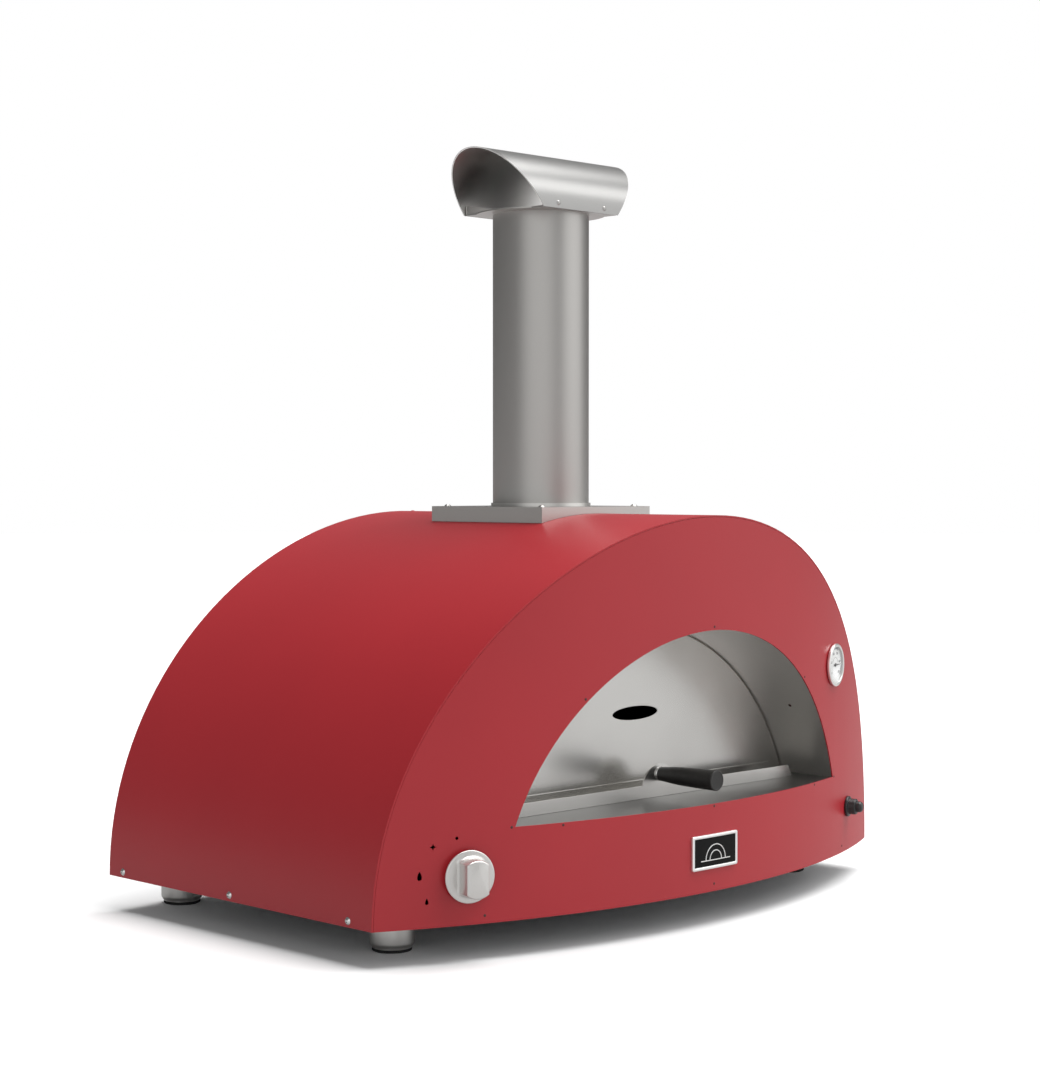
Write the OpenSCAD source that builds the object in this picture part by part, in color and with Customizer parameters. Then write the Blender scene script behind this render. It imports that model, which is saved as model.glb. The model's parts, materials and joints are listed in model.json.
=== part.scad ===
// Countertop gas pizza oven: a half-round sheet metal hood over an insulated arched chamber,
// with a bowed front, a lift-out door, a side burner and a flue with a half-round cowl.
// The modules work from the front bottom corners of the hood: x to the right, y to the back,
// z up from the bottom edge. placed() then stands the oven on its feet, centred on the origin.

/* [Hood] */
// Overall width, twice the outer radius of the hood
hood_w = 1000; // [980:5:1020]
// Depth of the hood along its bottom edge
side_d = 550; // [530:5:570]
// How far the front bows out in the middle
front_bow = 119; // [110:1:125]
// How far the top of the back leans in
back_lean = 51; // [40:1:60]
// How deep the back panel is set into the hood
back_inset = 15; // [10:1:20]
// Thickness of the casing sheets
skin = 2; // [1.5:0.1:2.5]
// Thickness of the inner sheets
liner = 1.5; // [1.2:0.1:2]

/* [Mouth] */
// Radius of the mouth arch
mouth_r = 344; // [335:1:350]
// Height of the arch centre above the hood's bottom edge
mouth_cz = 3.5; // [0:0.5:6]
// Height of the mouth floor above the hood's bottom edge
sill_z = 116.5; // [110:0.5:120]
// Radius of the smaller arch behind the door
throat_arch_r = 315; // [300:1:325]

/* [Chamber] */
// Inner radius of the chamber vault
vault_r = 420; // [415:1:425]
// Where the chamber's front wall stands, behind the front corners
wall_y = 25; // [23:1:27]
// Inner depth of the chamber
chamber_d = 418; // [400:1:425]
// Thickness of the hearth tiles
tile_t = 30; // [25:1:32]
// Thickness of the insulation board under the hearth
board_t = 50; // [40:1:52]
// Thickness of the fibre blanket round the vault
blanket_t = 50; // [25:1:65]

/* [Door] */
// Gap between the door and the mouth arch
door_gap = 2.2; // [1:0.1:3]
// Width of the oval vent
vent_w = 92; // [60:1:110]
// Height of the oval vent
vent_h = 19; // [12:1:24]
// Height of the vent's centre above the hood's bottom edge
vent_z = 227; // [210:1:240]
// Half the length of the door's foot
foot_half = 290; // [270:1:300]
// Height of the handle's axis above the hood's bottom edge
grip_z = 147.5; // [145:0.5:150]
// How far the handle stands in front of the bowed front
grip_proud = 5; // [2:1:20]

/* [Flue] */
// Outer radius of the flue pipe
flue_r = 68.5; // [67:0.5:70]
// Distance of the flue's axis behind the front corners
flue_y = 204; // [190:1:215]
// Side of the square flue plate
plate_w = 220; // [200:1:240]
// Height of the flue plate's top above the hood's bottom edge
plate_z = 509.5; // [508:0.5:514]
// Height of the cowl's underside above the hood's bottom edge
cowl_z = 923; // [800:1:1000]

/* [Cowl] */
// Outer radius of the cowl
cowl_r = 80; // [79:0.5:84]
// Half the cowl's length along its bottom edge
cowl_half = 75; // [72:1:85]
// How far each end of the cowl overhangs at the top
cowl_over = 64; // [40:1:70]

/* [Knob] */
// Sideways place of the knob on the front
knob_x = -387; // [-395:1:-380]
// Height of the knob above the hood's bottom edge
knob_z = 61; // [56:1:66]
// Radius of the knob's disc
knob_r = 32.8; // [30:0.2:34]
// Width of the knob's grip bar
bar_w = 29.6; // [24:0.2:32]

/* [Igniter] */
// Sideways place of the igniter on the front
igniter_x = 388.5; // [380:0.5:395]
// Height of the igniter above the hood's bottom edge
igniter_z = 65; // [60:1:70]
// How far the button goes in
igniter_travel = 5; // [3:0.5:6]

/* [Thermometer] */
// Sideways place of the thermometer on the front
gauge_x = 328; // [322:1:334]
// Height of the thermometer above the hood's bottom edge
gauge_z = 279; // [272:1:286]
// Outer radius of the thermometer
gauge_r = 31; // [29:0.5:33]

/* [Badge] */
// Width of the badge
badge_w = 92; // [80:1:100]
// Height of the badge
badge_h = 46; // [40:1:50]
// Height of the badge's centre above the hood's bottom edge
badge_z = 54; // [52:1:58]

/* [Gas line] */
// Sideways place of the gas inlet
inlet_x = -440; // [-445:1:-435]
// Height of the gas inlet above the hood's bottom edge
inlet_z = 28; // [24:1:32]
// Radius of the inlet's threaded stub
inlet_r = 8.3; // [8:0.1:10]
// Radius of the burner tube
burner_r = 14; // [12:0.5:15]
// Height of the burner's axis above the hood's bottom edge
burner_z = 142; // [138:1:142]

/* [Feet] */
// Height of the feet under the hood's bottom edge
foot_h = 46.5; // [40:0.5:60]
// Sideways place of the feet
foot_x = 402; // [390:1:410]
// Distance of the front feet behind the front corners
foot_front = 73; // [65:1:90]
// Distance of the rear feet behind the front corners
foot_rear = 516; // [480:1:518]
// Radius of the steel sleeves
sleeve_r = 28.9; // [26:0.1:30]
// Thickness of the rubber pads
pad_t = 4; // [3:0.5:6]

/* [Hidden] */
$fn = 96;
big_fn = 360;
eps = 0.3;
seam = 0.4;
hood_r = hood_w / 2;
in_r = hood_r - skin;
front_r = (hood_r * hood_r + front_bow * front_bow) / (2 * front_bow);
front_cy = front_r - front_bow;
back_r = (hood_r * hood_r + back_lean * back_lean) / (2 * back_lean);
back_cy = side_d - back_r;
reach = front_bow + grip_proud;
corner_y = (reach - side_d) / 2;
back_wall_y = wall_y + liner + chamber_d;
mouth_half = sqrt(mouth_r * mouth_r - pow(sill_z - mouth_cz, 2));
tray_z = sill_z - tile_t - liner;
board_z = tray_z - board_t;
wall_r = in_r - 3;
blanket_r = vault_r + liner + eps + blanket_t;
blanket_z = 50;
lip_h = 20;
lip_x = sqrt(in_r * in_r - lip_h * lip_h) - 0.4;
door_y = wall_y - 0.5 - skin;
door_z = sill_z + eps;
strip_h = 17;
strip_y = -23.3;
tab_r = 36;
throat_r = flue_r - 4.3;
shoulder_r = inlet_r + 1.5;
shoulder_y = side_d - back_inset + 0.6;
knob_push = 3.5;
knob_lift = 7;
disc_t = 2.5;
bar_h = 25.5;
stem_r = 4;
valve_w = 36;
valve_h = 40;
valve_d = 45;
outlet_n = -38;
screw_z = 8;
screw_ys = [44, 280, 518];
electrode_dx = 23;
electrode_z = burner_z + 10;
couple_dx = -18;
couple_z = burner_z - 16;
cavity_y = 8;

paint = "firebrick";
steel = "silver";
dark_steel = "dimgray";

// Distance of the bowed front behind the corners, negative in front of them
function front_y(x) = front_cy - sqrt(front_r * front_r - x * x);
// The same for the leaning back
function back_y(z) = back_cy + sqrt(back_r * back_r - z * z);
// Turn of the front's outward normal at x
function front_turn(x) = asin(x / front_r);
// A point n outside the front, on the normal through x
function off_front(x, n, z) = [x + n * sin(front_turn(x)), front_y(x) - n * cos(front_turn(x)), z];

valve_pt = off_front(knob_x, outlet_n, knob_z);
burner_x = valve_pt[0];
gas_y = valve_pt[1];

// ---- Helpers ----

module placed() translate([0, corner_y, foot_h]) children();

// A shape drawn in x and z, extruded from y0 back to y1
module along_y(y0, y1) {
    translate([0, y1, 0]) rotate([90, 0, 0]) linear_extrude(height = y1 - y0) children();
}

// Upper part of a disc, cut off at height z0
module disc_above(r, cz, z0) {
    intersection() {
        translate([0, cz]) circle(r = r, $fn = big_fn);
        translate([-2 * r, z0]) square([4 * r, 4 * r]);
    }
}

// Arch-shaped strip between two radii, cut off at height z0
module arch_ring(r_out, r_in, cz, z0) {
    intersection() {
        difference() {
            translate([0, cz]) circle(r = r_out, $fn = big_fn);
            translate([0, cz]) circle(r = r_in, $fn = big_fn);
        }
        translate([-2 * r_out, z0]) square([4 * r_out, 4 * r_out]);
    }
}

// Everything behind the bowed front, moved in by inset
module inside_front(inset, extra = 0) {
    translate([0, front_cy, -2 - extra])
        cylinder(r = front_r - inset, h = hood_r + 4 + 2 * extra, $fn = big_fn);
}

// Everything in front of the leaning back, moved in by inset
module inside_back(inset, extra = 0) {
    translate([-hood_r - 2 - extra, back_cy, 0]) rotate([0, 90, 0])
        cylinder(r = back_r - inset, h = hood_w + 4 + 2 * extra, $fn = big_fn);
}

// Sheet that follows the front, between two insets
module front_layer(t0, t1) {
    difference() {
        inside_front(t0);
        inside_front(t1, 1);
    }
}

// Sheet that follows the back, between two insets
module back_layer(t0, t1) {
    difference() {
        inside_back(t0);
        inside_back(t1, 1);
    }
}

// Puts children at a point of the front, turned so that -Y is the outward normal
module on_front(x, z) {
    translate([x, front_y(x), z]) rotate([0, 0, front_turn(x)]) children();
}

// The same, with the children's +Z pointing out of the front
module out_of_front(x, z) {
    on_front(x, z) rotate([90, 0, 0]) children();
}

// Ring from z0 to z1
module ring(r_out, r_in, z0, z1) {
    difference() {
        translate([0, 0, z0]) cylinder(r = r_out, h = z1 - z0);
        translate([0, 0, z0 - 1]) cylinder(r = r_in, h = z1 - z0 + 2);
    }
}

// Low dome of radius r and height h
module dome(r, h) {
    ball_r = (r * r + h * h) / (2 * h);
    intersection() {
        translate([0, 0, h - ball_r]) sphere(r = ball_r);
        cylinder(r = r + 1, h = h + 1);
    }
}

// Round bar between two points
module rod(a, b, r) {
    v = b - a;
    l = norm(v);
    translate(a) rotate([0, acos(v[2] / l), atan2(v[1], v[0])]) cylinder(r = r, h = l, $fn = 24);
}

// Pipe along a list of points, with ball-shaped bends
module pipe(points, r) {
    for (i = [0 : len(points) - 2]) rod(points[i], points[i + 1], r);
    for (i = [1 : len(points) - 2]) translate(points[i]) sphere(r = r, $fn = 24);
}

// ---- Casing ----

module hood_shell() color(paint) placed() {
    difference() {
        intersection() {
            along_y(-front_bow - 2, side_d + 2) arch_ring(hood_r, in_r, 0, 0);
            inside_front(0);
            inside_back(0);
        }
        translate([0, flue_y, hood_r / 2]) cylinder(r = throat_r + 1.5, h = hood_r);
        for (y = screw_ys) translate([-hood_r - 5, y, screw_z]) rotate([0, 90, 0])
            cylinder(r = 2.3, h = hood_w + 10, $fn = 24);
        apex_place() cylinder(r = 2, h = 60, center = true, $fn = 24);
    }
}

// Teardrop flame outline, width 2r, point up
module flame(r) {
    circle(r = r, $fn = 32);
    intersection() {
        translate([-3 * r, 0]) circle(r = 4 * r, $fn = 64);
        translate([3 * r, 0]) circle(r = 4 * r, $fn = 64);
        translate([-2 * r, 0]) square([4 * r, 4 * r]);
    }
}

// Four-pointed spark
module spark(r) {
    difference() {
        square(2 * r, center = true);
        for (sx = [-1, 1], sy = [-1, 1]) translate([sx * r, sy * r]) circle(r = 0.92 * r, $fn = 48);
    }
}

// Cuts a small sign through the front panel
module sign_cut(x, z) {
    on_front(x, z) translate([0, 6, 0]) rotate([90, 0, 0]) linear_extrude(height = 12) children();
}

module front_hole(x, z, r) {
    out_of_front(x, z) translate([0, 0, -8]) cylinder(r = r, h = 16, $fn = 48);
}

module front_panel() color(paint) placed() {
    difference() {
        intersection() {
            front_layer(0, skin);
            along_y(-front_bow - 10, 12) disc_above(in_r - seam, 0, 0);
        }
        along_y(-front_bow - 20, 30) disc_above(mouth_r, mouth_cz, sill_z);
        front_hole(knob_x, knob_z, 10.5);
        front_hole(igniter_x, igniter_z, 10.2);
        front_hole(gauge_x, gauge_z, 5);
        sign_cut(-400, 108) circle(r = 2.1, $fn = 32);
        sign_cut(-429, 99) spark(4.3);
        sign_cut(-445, 62) flame(3.1);
        sign_cut(-436.5, 31) flame(2.2);
        rivet_places() translate([0, 0, -8]) cylinder(r = 1.3, h = 16, $fn = 24);
    }
}

module back_panel() color(dark_steel) placed() {
    difference() {
        union() {
            intersection() {
                back_layer(back_inset, back_inset + liner);
                along_y(side_d / 2, side_d + 5) disc_above(in_r - seam, 0, 0);
            }
            intersection() {
                back_layer(back_inset + liner - 0.1, back_inset + liner + 12);
                along_y(side_d / 2, side_d + 5) arch_ring(in_r - seam, in_r - seam - liner, 0, lip_h + 2);
            }
        }
        translate([inlet_x, side_d - 60, inlet_z]) rotate([-90, 0, 0]) cylinder(r = shoulder_r + 0.5, h = 80);
        apex_place() cylinder(r = 1.65, h = 60, center = true, $fn = 24);
    }
}

module base_tray() color(dark_steel) placed() {
    difference() {
        union() {
            intersection() {
                translate([-lip_x, -front_bow, 0]) cube([2 * lip_x, side_d + front_bow, liner]);
                inside_front(skin + seam);
                inside_back(back_inset + liner + seam);
            }
            for (s = [-1, 1]) translate([s * (lip_x - liner / 2), side_d / 2, lip_h / 2])
                cube([liner, side_d - 40, lip_h], center = true);
        }
        for (y = screw_ys) translate([-hood_r, y, screw_z]) rotate([0, 90, 0])
            cylinder(r = 1.95, h = hood_w, $fn = 24);
        foot_places() translate([0, 0, foot_h - 2]) cylinder(r = 5.2, h = 20, $fn = 32);
    }
}

module support_rails() color(dark_steel) placed() {
    rail_h = board_z - liner;
    for (x = [-300, 0, 300]) translate([x, 0, liner]) along_y(45, back_wall_y) difference() {
        translate([-22, 0]) square([44, rail_h]);
        translate([-22 + liner, -1]) square([44 - 2 * liner, rail_h + 1 - liner]);
    }
}

// ---- Insulation ----

module vault_blanket() color("whitesmoke") placed() {
    difference() {
        union() {
            along_y(wall_y + liner + 0.5, back_wall_y + liner + 0.1)
                arch_ring(blanket_r, vault_r + liner + eps, 0, blanket_z);
            intersection() {
                along_y(back_wall_y + liner, back_wall_y + liner + blanket_t) disc_above(blanket_r, 0, blanket_z);
                inside_back(back_inset + liner + 12 + 0.5);
            }
        }
        translate([0, flue_y, hood_r / 2]) cylinder(r = throat_r + 0.5, h = hood_r);
    }
}

module floor_board() color("wheat") placed() {
    translate([-385, 30, board_z]) cube([770, back_wall_y - 32, board_t]);
}

// ---- Chamber ----

module chamber_vault() color(steel) placed() {
    difference() {
        along_y(wall_y + liner, back_wall_y) arch_ring(vault_r + liner, vault_r, 0, tray_z - 20);
        translate([0, flue_y, vault_r / 2]) cylinder(r = throat_r + 0.2, h = hood_r);
    }
}

module chamber_back_wall() color(steel) placed() {
    along_y(back_wall_y, back_wall_y + liner) disc_above(vault_r + liner, 0, tray_z - 20);
}

module chamber_front_wall() color(steel) placed() {
    difference() {
        along_y(wall_y, wall_y + liner) disc_above(wall_r, 0, liner);
        along_y(wall_y - 5, wall_y + 10) disc_above(throat_arch_r, mouth_cz, sill_z);
        translate([burner_x, wall_y - 5, burner_z]) rotate([-90, 0, 0]) cylinder(r = burner_r + 0.3, h = 12);
        translate([burner_x + electrode_dx, wall_y - 5, electrode_z]) rotate([-90, 0, 0])
            cylinder(r = 4.3, h = 12);
        translate([burner_x + couple_dx, wall_y - 5, couple_z]) rotate([-90, 0, 0])
            cylinder(r = 2.8, h = 12);
        translate([inlet_x, wall_y - 5, inlet_z]) rotate([-90, 0, 0]) cylinder(r = 4.5, h = 12);
        out_of_front(gauge_x, gauge_z) translate([0, 0, -160]) cylinder(r = 4.6, h = 150);
    }
}

module hearth_tray() color(dark_steel) placed() {
    translate([-400, wall_y + liner + eps, tray_z]) cube([800, chamber_d - 2 * eps, liner]);
}

module hearth_tiles() color("tan") placed() {
    tile_w = 197;
    rows = 2;
    columns = 4;
    joint_w = 0.8;
    tile_d = (chamber_d - 4) / rows - joint_w;
    x0 = -(columns * tile_w + (columns - 1) * joint_w) / 2;
    for (i = [0 : columns - 1], j = [0 : rows - 1])
        translate([x0 + i * (tile_w + joint_w), wall_y + liner + 2 + j * (tile_d + joint_w), tray_z + liner])
            cube([tile_w, tile_d, tile_t]);
}

module mouth_tunnel() color(steel) placed() {
    difference() {
        union() {
            intersection() {
                along_y(-front_bow, wall_y) arch_ring(mouth_r + skin, mouth_r, mouth_cz, sill_z);
                inside_front(skin);
            }
            intersection() {
                front_layer(skin, 2 * skin);
                along_y(-front_bow, 12) arch_ring(mouth_r + 14, mouth_r, mouth_cz, sill_z);
            }
        }
        rivet_places() translate([0, 0, -8]) cylinder(r = 1.3, h = 16, $fn = 24);
        for (s = [-1, 1]) tunnel_screw_place(s) cylinder(r = 1.7, h = 20, center = true, $fn = 24);
    }
}

module mouth_sill() color(steel) placed() {
    difference() {
        union() {
            intersection() {
                translate([-mouth_half - 2.6, -front_bow, sill_z - skin])
                    cube([2 * mouth_half + 5.2, front_bow + wall_y, skin]);
                inside_front(skin);
            }
            intersection() {
                front_layer(skin, 2 * skin);
                translate([-mouth_half, -front_bow, sill_z - 14]) cube([2 * mouth_half, front_bow, 13]);
            }
        }
        rivet_places() translate([0, 0, -8]) cylinder(r = 1.3, h = 16, $fn = 24);
    }
}

// ---- Gas line and burner ----

module burner_tube() color(steel) placed() {
    tube_l = back_wall_y - 60 - 14;
    translate([burner_x, 14, burner_z]) rotate([-90, 0, 0]) difference() {
        cylinder(r = burner_r, h = tube_l);
        translate([0, 0, -1]) cylinder(r = burner_r - 1.5, h = tube_l - 1);
        for (i = [0 : 11]) rotate([0, 0, -40]) translate([0, -1.5, 60 + i * 24]) cube([30, 3, 14]);
    }
}

module burner_saddles() color(steel) placed() {
    for (y = [90, 330]) translate([burner_x, 0, 0]) along_y(y, y + 12) difference() {
        translate([-burner_r - 3, sill_z]) square([2 * burner_r + 6, burner_z - sill_z + 4]);
        translate([0, burner_z]) circle(r = burner_r + 0.1, $fn = 64);
    }
}

module injector_holder() color("goldenrod") placed() {
    translate([burner_x, -4, burner_z]) rotate([-90, 0, 0]) difference() {
        union() {
            cylinder(r = 9, h = 10, $fn = 6);
            cylinder(r = 5, h = 16);
        }
        translate([0, 0, 4]) cylinder(r = 0.8, h = 20, $fn = 16);
    }
}

module gas_valve() color("darkkhaki") placed() {
    difference() {
        union() {
            out_of_front(knob_x, knob_z) {
                translate([-valve_w / 2, -valve_h / 2, -skin - valve_d]) cube([valve_w, valve_h, valve_d - 0.8]);
            }
            translate([burner_x, gas_y, knob_z - valve_h / 2 - 6]) cylinder(r = 7, h = valve_h + 12, $fn = 6);
        }
        out_of_front(knob_x, knob_z) {
            translate([0, 0, -26]) cylinder(r = stem_r + 0.06, h = 40);
            translate([0, 0, -skin - 9]) cylinder(r = 9.2, h = 20);
        }
    }
}

module valve_stem() color(steel) placed() {
    out_of_front(knob_x, knob_z) translate([0, 0, -21]) cylinder(r = stem_r, h = 21 + knob_lift + 18);
}

module thrust_washer() color(steel) placed() {
    out_of_front(knob_x, knob_z) ring(8.5, stem_r + 0.3, -2.5, -1);
}

module control_knob() color("gainsboro") placed() {
    out_of_front(knob_x, knob_z) difference() {
        union() {
            translate([0, 0, knob_lift]) cylinder(r = knob_r, h = disc_t);
            translate([0, 0, knob_lift - 2.5]) cylinder(r = 9, h = 3);
            intersection() {
                translate([0, 0, knob_lift]) cylinder(r = 23.65, h = disc_t + bar_h);
                translate([-bar_w / 2, -30, knob_lift]) cube([bar_w, 60, disc_t + bar_h]);
            }
        }
        translate([0, 0, -1]) cylinder(r = stem_r + 0.03, h = 1 + knob_lift + 18);
        translate([-0.75, 18, knob_lift + disc_t + bar_h - 0.8]) cube([1.5, 10, 2]);
    }
}

module supply_pipe() color("peru") placed() {
    pipe([
        [inlet_x, side_d - 32, inlet_z],
        [inlet_x, gas_y, inlet_z],
        [burner_x, gas_y, inlet_z],
        [burner_x, gas_y, knob_z - valve_h / 2 - 6]
    ], 4);
}

module burner_pipe() color("peru") placed() {
    pipe([
        [burner_x, gas_y, knob_z + valve_h / 2 + 6],
        [burner_x, gas_y, burner_z],
        [burner_x, -4, burner_z]
    ], 4);
}

module gas_inlet() color("goldenrod") placed() {
    translate([inlet_x, side_d - 32, inlet_z]) rotate([-90, 0, 0]) {
        cylinder(r = 12.5, h = 14.2, $fn = 6);
        cylinder(r = shoulder_r, h = shoulder_y - side_d + 32, $fn = 64);
        cylinder(r = inlet_r, h = 31);
    }
}

module thermocouple() color("peru") placed() {
    x = burner_x + couple_dx;
    translate([x, cavity_y, couple_z]) rotate([-90, 0, 0]) cylinder(r = 2.5, h = 46, $fn = 32);
    pipe([
        [x, cavity_y + 0.5, couple_z],
        [x, cavity_y, couple_z - 30],
        [x, cavity_y, knob_z + 8],
        [burner_x + 4, cavity_y, knob_z + 8],
        [burner_x + 4, cavity_y - 6, knob_z + 8]
    ], 1.5);
}

module spark_electrode() color("white") placed() {
    translate([burner_x + electrode_dx, cavity_y + 3, electrode_z]) {
        rotate([-90, 0, 0]) cylinder(r = 4, h = 40, $fn = 32);
        rotate([-90, 0, 0]) cylinder(r = 1, h = 58, $fn = 16);
    }
}

module ignition_lead() color("black") placed() {
    start = off_front(igniter_x, -49.2, igniter_z);
    pipe([
        start,
        [start[0], cavity_y, igniter_z],
        [burner_x + electrode_dx, cavity_y, igniter_z],
        [burner_x + electrode_dx, cavity_y, electrode_z],
        [burner_x + electrode_dx, cavity_y + 3, electrode_z]
    ], 1.8);
}

// ---- Igniter ----

module igniter_housing() color("dimgray") placed() {
    out_of_front(igniter_x, igniter_z) difference() {
        union() {
            translate([0, 0, 0.4]) cylinder(r = 15, h = 4);
            translate([0, 0, 0.4]) cylinder(r = 11.6, h = 14.8);
            translate([0, 0, -24]) cylinder(r = 9.8, h = 25);
            translate([0, 0, -48]) cylinder(r = 8, h = 25);
        }
        translate([0, 0, -4]) cylinder(r = 8.06, h = 30);
    }
}

module igniter_nut() color("dimgray") placed() {
    out_of_front(igniter_x, igniter_z) difference() {
        translate([0, 0, -9]) cylinder(r = 15, h = 6.4, $fn = 6);
        translate([0, 0, -12]) cylinder(r = 9.9, h = 14);
    }
}

module igniter_button() color("black") placed() {
    out_of_front(igniter_x, igniter_z) {
        translate([0, 0, 3]) cylinder(r = 8, h = 17.8);
        translate([0, 0, 20.8]) cylinder(r1 = 8, r2 = 4.8, h = 3.6, $fn = 64);
    }
}

// ---- Thermometer ----

module thermometer_case() color("gainsboro") placed() {
    out_of_front(gauge_x, gauge_z) {
        translate([0, 0, 0.5]) cylinder(r = gauge_r, h = 1);
        ring(gauge_r, gauge_r - 2.5, 1.3, 4.8);
        ring(gauge_r, gauge_r - 4.5, 4.6, 5.4);
    }
}

module thermometer_dial() color("white") placed() {
    out_of_front(gauge_x, gauge_z) ring(gauge_r - 2.8, 1.2, 1.8, 2.2);
}

module thermometer_needle() color("black") placed() {
    out_of_front(gauge_x, gauge_z) {
        translate([0, 0, 1.7]) cylinder(r = 0.9, h = 1.6, $fn = 24);
        translate([0, 0, 2.5]) cylinder(r = 2.6, h = 0.8, $fn = 32);
        translate([0, 0, 2.6]) linear_extrude(height = 0.6) polygon([[-7, -1.2], [-7, 1.2], [21, 0.3], [21, -0.3]]);
    }
}

module thermometer_glass() color("lightcyan", 0.4) placed() {
    out_of_front(gauge_x, gauge_z) translate([0, 0, 3.7]) cylinder(r = gauge_r - 2.8, h = 0.8);
}

module thermometer_probe() color(steel) placed() {
    out_of_front(gauge_x, gauge_z) {
        translate([0, 0, -140]) cylinder(r = 4, h = 140.5);
        translate([0, 0, -8.5]) cylinder(r = 9, h = 6, $fn = 6);
    }
}

// ---- Badge ----

module rounded(w, h, r) {
    square([w - 2 * r, h], center = true);
    square([w, h - 2 * r], center = true);
    for (sx = [-1, 1], sy = [-1, 1]) translate([sx * (w / 2 - r), sy * (h / 2 - r)]) circle(r = r, $fn = 32);
}

module badge_frame() color("white") placed() {
    border = 4.2;
    intersection() {
        front_layer(-3.4, -0.2);
        along_y(-front_bow - 10, 0) translate([0, badge_z]) difference() {
            rounded(badge_w, badge_h, 2.5);
            rounded(badge_w - 2 * border, badge_h - 2 * border, 1);
        }
    }
}

module badge_panel() color("black") placed() {
    border = 4.4;
    intersection() {
        front_layer(-2.6, -0.2);
        along_y(-front_bow - 10, 0) translate([0, badge_z])
            rounded(badge_w - 2 * border, badge_h - 2 * border, 1);
    }
}

// ---- Door ----

module door_plate() color("gainsboro") placed() {
    along_y(door_y, door_y + skin) difference() {
        disc_above(mouth_r - door_gap, mouth_cz, door_z);
        translate([0, vent_z]) scale([vent_w / 2, vent_h / 2]) circle(r = 1, $fn = 64);
    }
}

module door_foot() color("gainsboro") placed() {
    difference() {
        union() {
            translate([-foot_half, strip_y, door_z]) cube([2 * foot_half, door_y - strip_y, skin]);
            translate([-foot_half, door_y - skin, door_z]) cube([2 * foot_half, skin, strip_h]);
            along_y(strip_y, strip_y + skin) union() {
                polygon([
                    [-foot_half, door_z], [foot_half, door_z],
                    [foot_half - 9, door_z + strip_h], [-foot_half + 9, door_z + strip_h]
                ]);
                intersection() {
                    translate([0, sill_z + 9]) circle(r = tab_r, $fn = 96);
                    translate([-tab_r, door_z]) square([2 * tab_r, 2 * tab_r]);
                }
            }
        }
        translate([0, strip_y - 5, grip_z]) rotate([-90, 0, 0]) cylinder(r = 4.05, h = 12);
    }
}

module door_grip() color([0.12, 0.12, 0.12]) placed() {
    grip_l = reach + strip_y;
    kink = 34;
    translate([0, strip_y, grip_z]) rotate([90, 0, 0]) rotate_extrude() polygon([
        [4, 0.1], [9.2, 0.1], [12.4, kink], [13.75, grip_l - 1.5], [12.4, grip_l],
        [0, grip_l], [0, kink + 6], [4, kink + 6]
    ]);
}

module door_stud() color(steel) placed() {
    translate([0, strip_y, grip_z]) rotate([90, 0, 0]) {
        translate([0, 0, -skin - 6]) cylinder(r = 7.2, h = 6, $fn = 6);
        translate([0, 0, -skin - 1]) cylinder(r = 3.98, h = skin + 40);
    }
}

// ---- Flue ----

module flue_plate() color(steel) placed() {
    half = plate_w / 2;
    skirt_z = sqrt(hood_r * hood_r - half * half) - 2;
    difference() {
        translate([-half, flue_y - half, skirt_z]) cube([plate_w, plate_w, plate_z - skirt_z]);
        translate([-half + skin, flue_y - half + skin, skirt_z - 1])
            cube([plate_w - 2 * skin, plate_w - 2 * skin, plate_z - skirt_z + 1 - skin]);
        along_y(-front_bow, side_d) circle(r = hood_r + 0.2, $fn = big_fn);
        translate([0, flue_y, plate_z - 20]) cylinder(r = throat_r + 2.3, h = 40);
        plate_screw_places() translate([0, 0, -8]) cylinder(r = 2.2, h = 16, $fn = 24);
    }
}

module flue_throat() color(steel) placed() {
    difference() {
        translate([0, flue_y, vault_r - 12]) cylinder(r = throat_r, h = plate_z + 12 - vault_r);
        translate([0, flue_y, vault_r - 20]) cylinder(r = throat_r - 2, h = 200);
        along_y(0, side_d) circle(r = vault_r, $fn = big_fn);
    }
}

module flue_collar() color(steel) placed() {
    translate([0, flue_y, plate_z]) {
        ring(throat_r + 2.1, throat_r + 0.1, -6, 45);
        ring(flue_r + 2.5, throat_r + 2, 0.1, 4.8);
    }
}

module flue_pipe() color(steel) placed() {
    translate([0, flue_y, 0]) ring(flue_r, flue_r - 2, plate_z + 4.8, cowl_z);
}

// Keeps what lies between the cowl's two slanting ends
module between_cowl_ends() {
    top = cowl_r + 10;
    slope = cowl_over / (cowl_r + 3);
    translate([0, flue_y, cowl_z]) along_y(-cowl_r - 10, cowl_r + 10) polygon([
        [-cowl_half, 0], [cowl_half, 0], [cowl_half + slope * top, top], [-cowl_half - slope * top, top]
    ]);
}

module cowl_shell() color("gainsboro") placed() {
    sheet = 1.5;
    difference() {
        intersection() {
            translate([-300, flue_y, cowl_z + 3]) rotate([0, 90, 0]) difference() {
                union() {
                    cylinder(r = cowl_r, h = 600, $fn = 180);
                    translate([0, -cowl_r, 0]) cube([3, 2 * cowl_r, 600]);
                }
                translate([0, 0, -1]) cylinder(r = cowl_r - sheet, h = 602, $fn = 180);
                translate([0, -cowl_r + sheet, -1]) cube([200, 2 * cowl_r - 2 * sheet, 602]);
                translate([3, -200, -1]) cube([200, 400, 602]);
            }
            between_cowl_ends();
        }
        cowl_rivet_holes();
    }
}

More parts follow.
